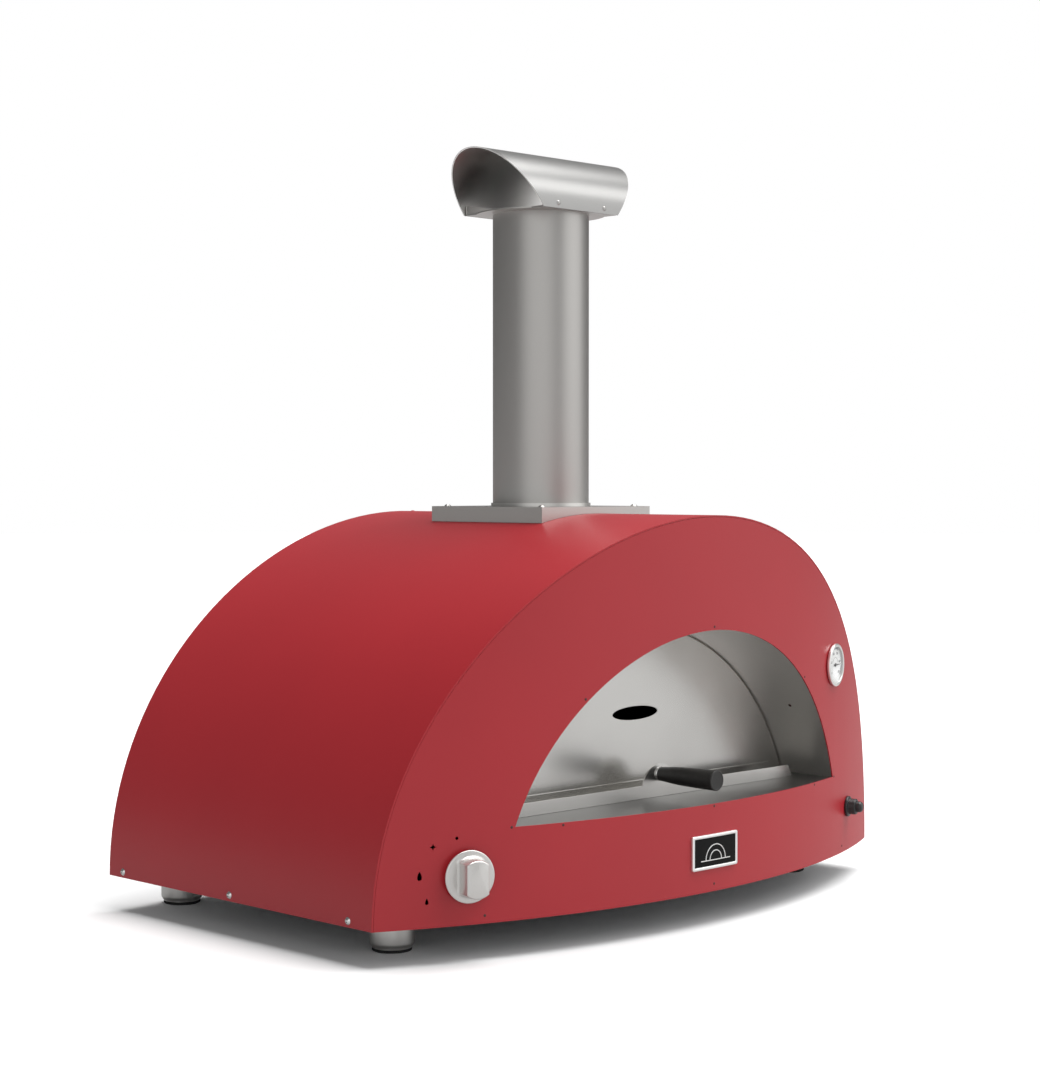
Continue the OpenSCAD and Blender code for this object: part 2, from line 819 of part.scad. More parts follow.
module cowl_base() color("gainsboro") placed() {
    tuck = cowl_r - 2.8;
    difference() {
        union() {
            translate([0, flue_y, cowl_z]) linear_extrude(height = skin) {
                square([2 * cowl_half - 2, 2 * tuck], center = true);
                intersection() {
                    circle(r = 92, $fn = 120);
                    square([200, 2 * tuck - 40], center = true);
                }
            }
            for (s = [-1, 1]) translate([0, flue_y + s * (tuck - skin / 2), cowl_z + 7])
                cube([2 * cowl_half - 2, skin, 14], center = true);
            translate([0, flue_y, cowl_z]) ring(throat_r + 2.1, throat_r, -28, 1);
        }
        translate([0, flue_y, cowl_z - 1]) cylinder(r = throat_r, h = 20);
        cowl_rivet_holes();
    }
}

module cowl_rivet_holes() {
    for (x = [-46.5, 46.5]) translate([x, flue_y, cowl_z + 7]) rotate([90, 0, 0])
        cylinder(r = 1.7, h = 2 * cowl_r + 20, center = true, $fn = 24);
}

// ---- Fasteners, each kind as one group ----

module cowl_rivets() color(steel) placed() {
    for (x = [-46.5, 46.5], s = [-1, 1]) translate([x, flue_y + s * (cowl_r + 0.02), cowl_z + 7])
        rotate([s * -90, 0, 0]) {
            dome(3.6, 1.6);
            translate([0, 0, -5]) cylinder(r = 1.6, h = 5.5, $fn = 24);
        }
}

module plate_screw_places() {
    inset = 16;
    for (sx = [-1, 1], sy = [-1, 1])
        translate([sx * (plate_w / 2 - inset), flue_y + sy * (plate_w / 2 - inset), plate_z]) children();
}

module plate_screws() color(steel) placed() {
    plate_screw_places() {
        dome(5, 3.2);
        translate([0, 0, -6]) cylinder(r = 2, h = 6.5, $fn = 24);
    }
}

module side_screws() color(steel) placed() {
    for (s = [-1, 1], y = screw_ys) translate([s * hood_r, y, screw_z]) rotate([0, s * 90, 0]) {
        dome(5, 3);
        translate([0, 0, -7]) cylinder(r = 1.9, h = 7.5, $fn = 24);
    }
}

// Small rivets round the mouth and along the front's bottom edge
module rivet_places() {
    arch = mouth_r + 4.5;
    for (a = [90, 49.8, 130.2, 18.9, 161.1])
        out_of_front(arch * cos(a), mouth_cz + arch * sin(a)) children();
    for (x = [-258, 0, 258]) out_of_front(x, sill_z - 3) children();
    for (x = [-365, 0, 365]) out_of_front(x, 10) children();
}

module tunnel_screw_place(s) {
    translate([0, -38, mouth_cz]) rotate([0, s * 50.5, 0]) translate([0, 0, mouth_r]) children();
}

module panel_rivets() color(dark_steel) placed() {
    rivet_places() {
        translate([0, 0, 0.01]) dome(1.8, 0.6);
        translate([0, 0, -3.9]) cylinder(r = 1.2, h = 4.2, $fn = 24);
    }
    for (s = [-1, 1]) tunnel_screw_place(s) mirror([0, 0, 1]) {
        translate([0, 0, 0.02]) dome(2.6, 0.9);
        translate([0, 0, -4]) cylinder(r = 1.5, h = 4.2, $fn = 24);
    }
}

module apex_place() {
    translate([0, back_y(hood_r) - back_inset - 8, hood_r]) children();
}

module apex_screw() color(paint) placed() {
    apex_place() {
        translate([0, 0, 0.01]) dome(3, 1.2);
        translate([0, 0, -6]) cylinder(r = 1.55, h = 6.2, $fn = 24);
    }
}

// ---- Feet ----

module foot_at(sx, y) translate([sx * foot_x, y, -foot_h]) children();

module foot_places() {
    for (sx = [-1, 1], y = [foot_front, foot_rear]) foot_at(sx, y) children();
}

module foot_sleeve(sx, y) color(steel) placed() foot_at(sx, y) {
    lower_r = sleeve_r - 3.4;
    rotate_extrude() polygon([
        [0, pad_t], [lower_r, pad_t], [lower_r, pad_t + 2], [sleeve_r - 2.4, pad_t + 2],
        [sleeve_r, pad_t + 6], [sleeve_r, foot_h - eps], [0, foot_h - eps]
    ]);
    translate([0, 0, foot_h - 1]) cylinder(r = 5, h = 12, $fn = 32);
}

module foot_pad(sx, y) color([0.1, 0.1, 0.1]) placed() foot_at(sx, y) {
    pad_r = sleeve_r - 3.4;
    rotate_extrude() polygon([[0, 0], [pad_r - 1, 0], [pad_r, 1.2], [pad_r, pad_t], [0, pad_t]]);
}

hood_shell();
front_panel();
back_panel();
base_tray();
support_rails();
vault_blanket();
floor_board();
chamber_vault();
chamber_back_wall();
chamber_front_wall();
hearth_tray();
hearth_tiles();
mouth_tunnel();
mouth_sill();
burner_tube();
burner_saddles();
injector_holder();
gas_valve();
valve_stem();
thrust_washer();
control_knob();
supply_pipe();
burner_pipe();
gas_inlet();
thermocouple();
spark_electrode();
ignition_lead();
igniter_housing();
igniter_nut();
igniter_button();
thermometer_case();
thermometer_dial();
thermometer_needle();
thermometer_glass();
thermometer_probe();
badge_frame();
badge_panel();
door_plate();
door_foot();
door_grip();
door_stud();
flue_plate();
flue_throat();
flue_collar();
flue_pipe();
cowl_shell();
cowl_base();
cowl_rivets();
plate_screws();
side_screws();
panel_rivets();
apex_screw();
foot_sleeve(-1, foot_front);  // foot_sleeve_front_left
foot_sleeve(1, foot_front);  // foot_sleeve_front_right
foot_sleeve(-1, foot_rear);  // foot_sleeve_rear_left
foot_sleeve(1, foot_rear);  // foot_sleeve_rear_right
foot_pad(-1, foot_front);  // foot_pad_front_left
foot_pad(1, foot_front);  // foot_pad_front_right
foot_pad(-1, foot_rear);  // foot_pad_rear_left
foot_pad(1, foot_rear);  // foot_pad_rear_right
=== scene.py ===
import json
import math
import bmesh
import bpy
from mathutils import Matrix, Vector


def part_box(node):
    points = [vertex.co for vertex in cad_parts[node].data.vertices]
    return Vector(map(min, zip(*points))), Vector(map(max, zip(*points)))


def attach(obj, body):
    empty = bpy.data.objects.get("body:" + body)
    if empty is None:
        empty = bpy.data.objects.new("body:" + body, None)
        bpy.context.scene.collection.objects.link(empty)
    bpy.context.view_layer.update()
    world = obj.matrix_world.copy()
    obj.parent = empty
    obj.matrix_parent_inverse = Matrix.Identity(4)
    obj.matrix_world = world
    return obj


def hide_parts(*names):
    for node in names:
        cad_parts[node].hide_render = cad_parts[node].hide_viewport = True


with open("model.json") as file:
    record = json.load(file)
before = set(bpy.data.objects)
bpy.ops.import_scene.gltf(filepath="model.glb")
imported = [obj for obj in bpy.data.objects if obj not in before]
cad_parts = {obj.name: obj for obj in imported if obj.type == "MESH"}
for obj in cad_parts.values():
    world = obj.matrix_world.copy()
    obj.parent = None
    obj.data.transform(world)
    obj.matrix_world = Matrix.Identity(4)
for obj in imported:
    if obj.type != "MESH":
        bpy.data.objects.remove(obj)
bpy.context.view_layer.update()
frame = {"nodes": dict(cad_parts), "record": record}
nodes = frame["nodes"]

# The bowed front: the hood's half width and the bow's depth give its radius and centre
hood_lo, hood_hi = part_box("hood_shell")
HOOD_R = hood_hi.x
BOW = 0.119
FRONT_R = (HOOD_R ** 2 + BOW ** 2) / (2 * BOW)
FRONT_CY = hood_lo.y + FRONT_R

# Noise scale of brushed metal, and its stretch along each axis
FINE_GRAIN = 2200
BRUSHED_X, BRUSHED_Y, BRUSHED_Z = (0.03, 1, 1), (1, 0.03, 1), (1, 1, 0.04)

# The cowl's sheet, and the distances from the flue's axis where the painted shade inside the cowl
# is full and where it ends
COWL_SHEET = 0.0006
MOUTH_SHADE_FULL, MOUTH_SHADE_END = 0.020, 0.095
# Near-black colour of the painted shade inside the cowl over the flue's mouth
MOUTH_SHADE_COLOUR = (0.003, 0.003, 0.003, 1)


# ---------------------------------------------------------------- materials

def new_mat(name):
    """A material with a Principled shader alone."""
    m = bpy.data.materials.new(name)
    m.use_nodes = True
    tree = m.node_tree
    tree.nodes.clear()
    out = tree.nodes.new("ShaderNodeOutputMaterial")
    bsdf = tree.nodes.new("ShaderNodeBsdfPrincipled")
    tree.links.new(bsdf.outputs[0], out.inputs[0])
    return m, tree, bsdf


def coords(tree, scale):
    """Object coordinates, scaled along each axis."""
    tc = tree.nodes.new("ShaderNodeTexCoord")
    mp = tree.nodes.new("ShaderNodeMapping")
    mp.inputs["Scale"].default_value = scale
    tree.links.new(tc.outputs["Object"], mp.inputs["Vector"])
    return mp.outputs["Vector"]


def noise(tree, scale, detail=3.0, rough=0.55, stretch=(1, 1, 1)):
    n = tree.nodes.new("ShaderNodeTexNoise")
    n.inputs["Scale"].default_value = scale
    n.inputs["Detail"].default_value = detail
    n.inputs["Roughness"].default_value = rough
    tree.links.new(coords(tree, stretch), n.inputs["Vector"])
    return n.outputs["Fac"]


def spread(tree, fac, lo, hi, a=0.3, b=0.7):
    """The factor's range a to b, mapped to lo to hi."""
    r = tree.nodes.new("ShaderNodeMapRange")
    r.inputs["From Min"].default_value = a
    r.inputs["From Max"].default_value = b
    r.inputs["To Min"].default_value = lo
    r.inputs["To Max"].default_value = hi
    tree.links.new(fac, r.inputs["Value"])
    return r.outputs["Result"]


def two_tone(tree, fac, dark, light, a=0.3, b=0.7):
    """A colour ramp from dark at a to light at b."""
    r = tree.nodes.new("ShaderNodeValToRGB")
    r.color_ramp.elements[0].position = a
    r.color_ramp.elements[1].position = b
    r.color_ramp.elements[0].color = (*dark, 1)
    r.color_ramp.elements[1].color = (*light, 1)
    tree.links.new(fac, r.inputs["Fac"])
    return r.outputs["Color"]


def shades(base, lo, hi):
    """A darker and a lighter version of a colour."""
    return [c * lo for c in base], [min(1, c * hi) for c in base]


def mix_colour(tree, fac):
    """An RGBA mix with its factor linked."""
    mix = tree.nodes.new("ShaderNodeMix")
    mix.data_type = "RGBA"
    tree.links.new(fac, mix.inputs[0])
    return mix


def maths(tree, operation, a, b):
    node = tree.nodes.new("ShaderNodeMath")
    node.operation = operation
    tree.links.new(a, node.inputs[0])
    tree.links.new(b, node.inputs[1])
    return node.outputs[0]


def bump(tree, bsdf, layers):
    """Stacked bumps. layers is (height, strength, distance) rows."""
    last = None
    for height, strength, distance in layers:
        b = tree.nodes.new("ShaderNodeBump")
        b.inputs["Strength"].default_value = strength
        b.inputs["Distance"].default_value = distance
        tree.links.new(height, b.inputs["Height"])
        if last is not None:
            tree.links.new(last, b.inputs["Normal"])
        last = b.outputs["Normal"]
    tree.links.new(last, bsdf.inputs["Normal"])


def paint(name, base, rough=0.42):
    m, t, b = new_mat(name)
    t.links.new(two_tone(t, noise(t, 3, 2), *shades(base, 0.96, 1.03)), b.inputs["Base Color"])
    t.links.new(spread(t, noise(t, 900, 2), rough - 0.02, rough + 0.03), b.inputs["Roughness"])
    b.inputs["Specular IOR Level"].default_value = 0.48
    bump(t, b, [(noise(t, 900, 2), 0.05, 0.0003), (noise(t, 3500, 1), 0.03, 0.0001)])
    return m


def steel(name, base, rough, grain=(1, 1, 1), streak=0.25, tint=None):
    """Metal with a fine grain of strength streak, or with broad clouds of a second colour."""
    m, t, b = new_mat(name)
    fine = noise(t, FINE_GRAIN, 3, 0.6, grain)
    broad = noise(t, 7, 3)
    dark, light = shades(base, 1 - 0.10 * streak, 1 + 0.10 * streak)
    if tint:
        t.links.new(two_tone(t, broad, tint, light, 0.35, 0.6), b.inputs["Base Color"])
    else:
        t.links.new(two_tone(t, fine, dark, light), b.inputs["Base Color"])
    polish = spread(t, fine, rough - 0.16 * streak, rough + 0.18 * streak)
    t.links.new(polish, b.inputs["Roughness"])
    b.inputs["Metallic"].default_value = 1.0
    bump(t, b, [(fine, 0.10 * streak, 0.0002), (broad, 0.02, 0.002)])
    return m


def cowl_steel(name, base, inner_painted_reflection, rough):
    """Bright rolled sheet outside. Inside, the faces are lightened as a painted reflection, and a
    near-black painted shade lies over the flue's mouth.
    """
    m, t, b = new_mat(name)
    lo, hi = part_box("cowl_shell")
    c = (lo + hi) / 2
    outer = (hi.y - lo.y) / 2
    inner = outer - COWL_SHEET
    tc = t.nodes.new("ShaderNodeTexCoord")
    off = t.nodes.new("ShaderNodeVectorMath")
    off.operation = "SUBTRACT"
    off.inputs[1].default_value = (c.x, c.y, hi.z - outer)
    t.links.new(tc.outputs["Object"], off.inputs[0])

    def length(scale):
        v = t.nodes.new("ShaderNodeVectorMath")
        v.operation = "MULTIPLY"
        v.inputs[1].default_value = scale
        t.links.new(off.outputs[0], v.inputs[0])
        n = t.nodes.new("ShaderNodeVectorMath")
        n.operation = "LENGTH"
        t.links.new(v.outputs[0], n.inputs[0])
        return n.outputs["Value"]

    inside = spread(t, length((0, 1, 1)), 1.0, 0.0, inner - 0.0002, inner + 0.0002)
    # Painted shade: the inner faces near the flue's axis turn near-black and rough, for the dark
    # depth of the cowl's mouth
    near = spread(t, length((1, 0.6, 0.6)), 1.0, 0.0, MOUTH_SHADE_FULL, MOUTH_SHADE_END)
    mouth_shade = maths(t, "MULTIPLY", inside, near)
    fine = noise(t, FINE_GRAIN, 3, 0.6, (0.04, 1, 1))
    mix = mix_colour(t, mouth_shade)
    faces = mix_colour(t, inside)
    t.links.new(two_tone(t, fine, *shades(base, 0.975, 1.025)), faces.inputs[6])
    # Painted reflection: the inner faces get a far lighter colour than the outside of the same
    # sheet
    faces.inputs[7].default_value = (*inner_painted_reflection, 1)
    t.links.new(faces.outputs[2], mix.inputs[6])
    mix.inputs[7].default_value = MOUTH_SHADE_COLOUR
    t.links.new(mix.outputs[2], b.inputs["Base Color"])
    t.links.new(spread(t, mouth_shade, rough, 0.7, 0.0, 1.0), b.inputs["Roughness"])
    b.inputs["Metallic"].default_value = 1.0
    bump(t, b, [(fine, 0.02, 0.0002), (noise(t, 5, 1), 0.01, 0.001)])
    return m


def plastic(name, base, rough, grain=900, depth=0.12, spec=0.5):
    m, t, b = new_mat(name)
    t.links.new(two_tone(t, noise(t, 40, 3), *shades(base, 0.8, 1.25)), b.inputs["Base Color"])
    t.links.new(spread(t, noise(t, 120, 2), rough - 0.05, rough + 0.06), b.inputs["Roughness"])
    b.inputs["Specular IOR Level"].default_value = spec
    bump(t, b, [(noise(t, grain, 2), depth, 0.0003)])
    return m


def satin(name, base, rough):
    """Half metallic finish of cast and painted knobs."""
    m, t, b = new_mat(name)
    t.links.new(two_tone(t, noise(t, 1800, 2), *shades(base, 0.96, 1.03)), b.inputs["Base Color"])
    t.links.new(spread(t, noise(t, 2400, 2), rough - 0.03, rough + 0.03), b.inputs["Roughness"])
    b.inputs["Metallic"].default_value = 0.62
    b.inputs["Specular IOR Level"].default_value = 0.6
    bump(t, b, [(noise(t, 3000, 2), 0.02, 0.0001)])
    return m


def stone(name):
    """Pitted fired clay."""
    m, t, b = new_mat(name)
    t.links.new(two_tone(t, noise(t, 45, 6, 0.7), (0.34, 0.28, 0.21), (0.56, 0.49, 0.39)),
                b.inputs["Base Color"])
    t.links.new(spread(t, noise(t, 300, 3), 0.75, 0.95), b.inputs["Roughness"])
    pits = t.nodes.new("ShaderNodeTexVoronoi")
    pits.inputs["Scale"].default_value = 260
    t.links.new(coords(t, (1, 1, 1)), pits.inputs["Vector"])
    bump(t, b, [(pits.outputs["Distance"], 0.35, 0.0008), (noise(t, 90, 5), 0.3, 0.001)])
    return m


def fibre(name, dark, light):
    """Matted mineral wool or board."""
    m, t, b = new_mat(name)
    f = noise(t, 180, 6, 0.75, (1, 3, 1))
    t.links.new(two_tone(t, f, dark, light), b.inputs["Base Color"])
    t.links.new(spread(t, f, 0.85, 1.0), b.inputs["Roughness"])
    bump(t, b, [(f, 0.5, 0.002)])
    return m


def glass(name):
    m, t, b = new_mat(name)
    b.inputs["Base Color"].default_value = (0.96, 0.98, 0.98, 1)
    b.inputs["Alpha"].default_value = 0.06
    b.inputs["IOR"].default_value = 1.5
    t.links.new(spread(t, noise(t, 60, 2), 0.02, 0.05), b.inputs["Roughness"])
    return m


M = {
    "red_paint": paint("red_paint", (0.40, 0.017, 0.025), 0.38),
    "galvanised_sheet": steel("galvanised_sheet", (0.40, 0.41, 0.42), 0.50, streak=0.5,
                              tint=(0.30, 0.31, 0.33)),
    "stainless_sheet": steel("stainless_sheet", (0.50, 0.49, 0.47), 0.34, BRUSHED_X),
    # Painted light: the tunnel's steel is made lighter than the door's, to lift its shaded walls
    # inside the mouth
    "tunnel_steel_painted_light": steel("tunnel_steel_painted_light", (0.76, 0.745, 0.72), 0.44, BRUSHED_Y, streak=0.3),
    # Painted shade: the sill's steel is made near-black, far darker than the tunnel and door steel,
    # for the shade and dark reflection in the mouth
    "sill_painted_shade_steel": steel("sill_painted_shade_steel", (0.13, 0.128, 0.124), 0.34, streak=0.0,
                        tint=(0.12, 0.118, 0.114)),
    "door_steel": steel("door_steel", (0.65, 0.64, 0.62), 0.27, streak=0.0,
                        tint=(0.61, 0.60, 0.58)),
    "flue_steel": steel("flue_steel", (0.45, 0.44, 0.425), 0.40, BRUSHED_Z),
    # The cowl's inner colour is a painted reflection, and its mouth gets painted shade
    "cowl_steel": cowl_steel("cowl_steel", (0.35, 0.347, 0.34), (0.86, 0.85, 0.83), 0.31),
    "foot_steel": steel("foot_steel", (0.66, 0.65, 0.63), 0.38, (1, 1, 0.02)),
    "chamber_steel": steel("chamber_steel", (0.36, 0.33, 0.29), 0.42, (0.05, 1, 1),
                           tint=(0.24, 0.21, 0.20)),
    "bright_steel": steel("bright_steel", (0.72, 0.72, 0.71), 0.18, streak=0.15),
    "rivet_steel": steel("rivet_steel", (0.10, 0.055, 0.055), 0.45),
    "satin_chrome": steel("satin_chrome", (0.88, 0.87, 0.85), 0.32, streak=0.08),
    "hearth_stone": stone("hearth_stone"),
    "ceramic_blanket": fibre("ceramic_blanket", (0.66, 0.65, 0.61), (0.84, 0.83, 0.80)),
    "insulating_board": fibre("insulating_board", (0.52, 0.46, 0.36), (0.66, 0.60, 0.48)),
    "valve_brass": steel("valve_brass", (0.60, 0.44, 0.17), 0.30, streak=0.3),
    "gas_pipe": steel("gas_pipe", (0.56, 0.27, 0.15), 0.32, streak=0.4, tint=(0.40, 0.20, 0.12)),
    "white_ceramic": plastic("white_ceramic", (0.74, 0.73, 0.69), 0.22, 200, 0.03),
    "lead_rubber": plastic("lead_rubber", (0.03, 0.03, 0.03), 0.6),
    "black_plastic": plastic("black_plastic", (0.016, 0.016, 0.017), 0.36, 700, 0.05),
    "handle_black": plastic("handle_black", (0.020, 0.019, 0.018), 0.40, 420, 0.05, 0.4),
    "dial_white": plastic("dial_white", (0.88, 0.88, 0.86), 0.45, 500, 0.02),
    "needle_black": plastic("needle_black", (0.015, 0.015, 0.015), 0.4, 900, 0.02),
    "dial_glass": glass("dial_glass"),
    "badge_silver": steel("badge_silver", (0.93, 0.93, 0.92), 0.34, streak=0.12),
    "badge_black": plastic("badge_black", (0.004, 0.004, 0.004), 0.5, 600, 0.03, 0.12),
    "pad_rubber": plastic("pad_rubber", (0.018, 0.018, 0.018), 0.75, 800, 0.25, 0.3),
}


# Finishes finer than the record's slots, for single nodes
KNOB_METAL = satin("knob_finish", (0.68, 0.67, 0.65), 0.30)
FINER = {"mouth_tunnel": "tunnel_steel_painted_light", "mouth_sill": "sill_painted_shade_steel", "cowl_shell": "cowl_steel",
         "cowl_rivets": "flue_steel", "flue_collar": "foot_steel"}

for row in frame["record"]["subparts"]:
    node_obj = nodes[row["node"]]
    node_obj.data.materials.clear()
    node_obj.data.materials.append(M[FINER.get(row["node"], row["material_slot"])])


# ---------------------------------------------------------------- mesh helpers

def link(name, me, body, slot, mat=None):
    """A new object that rides on a body and wears the slot's material, or a finer one."""
    me.materials.append(mat or M[slot])
    ob = bpy.data.objects.new(name, me)
    bpy.context.scene.collection.objects.link(ob)
    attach(ob, body)
    return ob


def add_mesh(name, bm, body, slot, replaces=(), smooth_deg=35, mat=None):
    """A piece from a bmesh, smooth but for edges sharper than smooth_deg."""
    me = bpy.data.meshes.new(name)
    bmesh.ops.recalc_face_normals(bm, faces=bm.faces)
    bm.to_mesh(me)
    bm.free()
    for p in me.polygons:
        p.use_smooth = True
    me.set_sharp_from_angle(angle=math.radians(smooth_deg))
    ob = link(name, me, body, slot, mat)
    if replaces:
        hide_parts(*replaces)


def fillet(points, radius, segs=4):
    """The polyline with its inner corners rounded. radius is one number or one per point."""
    out = [Vector(points[0])]
    for i in range(1, len(points) - 1):
        r = radius[i] if isinstance(radius, (list, tuple)) else radius
        p, a, b = Vector(points[i]), Vector(points[i - 1]), Vector(points[i + 1])
        u, v = a - p, b - p
        cut = min(r, u.length * 0.45, v.length * 0.45)
        if cut < 1e-6:
            out.append(p)
            continue
        s, e = p + u.normalized() * cut, p + v.normalized() * cut
        for k in range(segs + 1):
            t = k / segs
            out.append(s * (1 - t) ** 2 + p * 2 * t * (1 - t) + e * t * t)
    out.append(Vector(points[-1]))
    return out


def circle(r, h, count):
    """Points round a frame's Z at a height, or the one point on it."""
    if r < 1e-7:
        return [(0, 0, h)]
    turns = [2 * math.pi * k / count for k in range(count)]
    return [(r * math.cos(a), r * math.sin(a), h) for a in turns]


def loop(bm, place, points):
    """New vertices at the frame's points."""
    return [bm.verts.new(place @ Vector(p)) for p in points]


def bridge(bm, loops):
    """Quads between each closed loop of vertices and the next."""
    for a, b in zip(loops, loops[1:]):
        for k in range(len(a)):
            n = (k + 1) % len(a)
            bm.faces.new([a[k], a[n], b[n], b[k]])


def lathe_into(bm, profile, place, count=96):
    """Adds a solid of revolution. profile is (radius, height) pairs about place's Z."""
    rings = [loop(bm, place, circle(r, h, count)) for r, h in profile]
    for a, b in zip(rings, rings[1:]):
        for k in range(count):
            n = (k + 1) % count
            quad = [a[k % len(a)], a[n % len(a)], b[n % len(b)], b[k % len(b)]]
            corners = list(dict.fromkeys(quad))
            if len(corners) > 2:
                bm.faces.new(corners)


def lathe(name, profile, place, body, slot, replaces=(), count=96):
    """A turned piece."""
    bm = bmesh.new()
    lathe_into(bm, profile, place, count)
    add_mesh(name, bm, body, slot, replaces)


def front_place(node):
    """Frame on the bowed front at the node's axis: X right, Y up, Z out of the front."""
    lo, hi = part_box(node)
    c = (lo + hi) / 2
    a = math.atan2(c.x, FRONT_CY - c.y)
    p = Vector((0, FRONT_CY, c.z)) + FRONT_R * Vector((math.sin(a), -math.cos(a), 0))
    turn = Matrix.Rotation(a, 4, "Z") @ Matrix.Rotation(math.radians(90), 4, "X")
    return Matrix.Translation(p) @ turn


def islands(node):
    """Lowest and highest corner of each separate solid of a node."""
    me = nodes[node].data
    bm = bmesh.new()
    bm.from_mesh(me)
    bmesh.ops.remove_doubles(bm, verts=bm.verts, dist=1e-6)
    seen, out = set(), []
    for v in bm.verts:
        if v in seen:
            continue
        stack, group = [v], []
        seen.add(v)
        while stack:
            w = stack.pop()
            group.append(w.co.copy())
            for e in w.link_edges:
                o = e.other_vert(w)
                if o not in seen:
                    seen.add(o)
                    stack.append(o)
        lo = Vector([min(c[i] for c in group) for i in range(3)])
        hi = Vector([max(c[i] for c in group) for i in range(3)])
        out.append((lo, hi))
    bm.free()
    return out


def aim(point, direction):
    """Frame at a point with Z along the direction."""
    turn = Vector(direction).normalized().to_track_quat("Z", "Y").to_matrix().to_4x4()
    return Matrix.Translation(point) @ turn


# ---------------------------------------------------------------- knob

BAR_R, BAR_HALF = 0.02365, 0.0148


def bar_outline(r, w, grow, arc=14, side=10):
    """Outline of the grip bar: a circle cut by two flats, grown outward."""
    r, w = r + grow, w + grow
    a0 = math.asin(w / r)
    pts = []
    for k in range(arc + 1):
        a = a0 - 2 * a0 * k / arc
        pts.append((r * math.sin(a), r * math.cos(a)))
    top = r * math.cos(a0)
    for k in range(1, side):
        pts.append((-w, top - 2 * top * k / side))
    for k in range(arc + 1):
        a = -a0 + 2 * a0 * k / arc
        pts.append((r * math.sin(a), -r * math.cos(a)))
    for k in range(1, side):
        pts.append((w, -top + 2 * top * k / side))
    return pts


def make_knob():
    place = front_place("thrust_washer")
    lo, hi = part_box("control_knob")
    disc_r = (hi.z - lo.z) / 2
    bm = bmesh.new()
    rim = fillet([(0.0042, 0.0046), (0.009, 0.0046), (0.009, 0.0068), (disc_r, 0.0070),
                  (disc_r, 0.0088), (disc_r - 0.0012, 0.0096), (0.0236, 0.0101), (0, 0.0101)],
                 [0, 0.0004, 0.0003, 0.0006, 0.0006, 0.0008, 0.001, 0], 4)
    lathe_into(bm, rim, place, 128)
    # The bar's foot, side and rounded top, as (growth of the outline, height)
    layers = [(0.0045, 0.0098), (0.0030, 0.0101), (0.0019, 0.0108), (0.0010, 0.0119),
              (0.0004, 0.0134), (0.0, 0.0152), (0.0, 0.0330), (-0.0003, 0.0338),
              (-0.0010, 0.0346), (-0.0019, 0.03495)]
    rings = [loop(bm, place, [(x, y, h) for x, y in bar_outline(BAR_R, BAR_HALF, grow)])
             for grow, h in layers]
    bridge(bm, rings)
    bm.faces.new(rings[-1])
    add_mesh("knob_body", bm, "knob", "satin_chrome", ("control_knob",), 32, KNOB_METAL)
    # The pointer, a fine inlaid line
    bm = bmesh.new()
    half, start, end = 0.0008, 0.0140, 0.0212
    pts = [(-half, start), (half, start), (half, end), (-half, end)]
    low = loop(bm, place, [(x, y, 0.0347) for x, y in pts])
    top = loop(bm, place, [(x * 0.8, y, 0.03503) for x, y in pts])
    bridge(bm, [low, top])
    bm.faces.new(top)
    add_mesh("knob_pointer_line", bm, "knob", "foot_steel")


# ---------------------------------------------------------------- igniter

def make_igniter():
    place = front_place("igniter_nut")
    base = fillet([(0.0081, 0.0010), (0.0081, 0.0152), (0.0104, 0.0152), (0.0116, 0.0140),
                   (0.0116, 0.0046), (0.0140, 0.0044), (0.0150, 0.0034), (0.0150, 0.0004),
                   (0.0098, 0.0004), (0.0098, -0.0240), (0.0080, -0.0240), (0.0080, -0.0480),
                   (0, -0.0480)], 0.0006, 3)
    lathe("igniter_collar", base, place, "oven", "black_plastic", ("igniter_housing",), 72)
    cap = fillet([(0, 0.0030), (0.0080, 0.0030), (0.0080, 0.0206), (0.0066, 0.0228),
                  (0.0048, 0.0242), (0.0040, 0.0236), (0, 0.0234)],
                 [0, 0.0003, 0.0012, 0.0008, 0.0005, 0.0006, 0], 4)
    lathe("igniter_cap", cap, place, "button", "black_plastic", ("igniter_button",), 72)


# ---------------------------------------------------------------- thermometer

def strip(bm, place, a, b, w0, w1, h0, h1):
    """Thin raised bar from a to b in the frame's XY plane, of widths w0 and w1."""
    a, b = Vector((*a, 0)), Vector((*b, 0))
    side = (b - a).normalized().cross(Vector((0, 0, 1)))
    foot = [a - side * w0 / 2, a + side * w0 / 2, b + side * w1 / 2, b - side * w1 / 2]
    low = loop(bm, place, [p + Vector((0, 0, h0)) for p in foot])
    top = loop(bm, place, [p + Vector((0, 0, h1)) for p in foot])
    bridge(bm, [low, top])
    bm.faces.new(top)
    bm.faces.new(low[::-1])


def arc_band(bm, place, r0, r1, a0, a1, h0, h1, count=40):
    """Raised arc between two radii. Angles in degrees clockwise from the top."""
    section = ((r0, h0), (r1, h0), (r1, h1), (r0, h1))
    rows = []
    for k in range(count + 1):
        a = math.radians(a0 + (a1 - a0) * k / count)
        d = Vector((math.sin(a), math.cos(a), 0))
        rows.append(loop(bm, place, [d * r + Vector((0, 0, h)) for r, h in section]))
    bridge(bm, rows)
    bm.faces.new(rows[0])
    bm.faces.new(rows[-1][::-1])


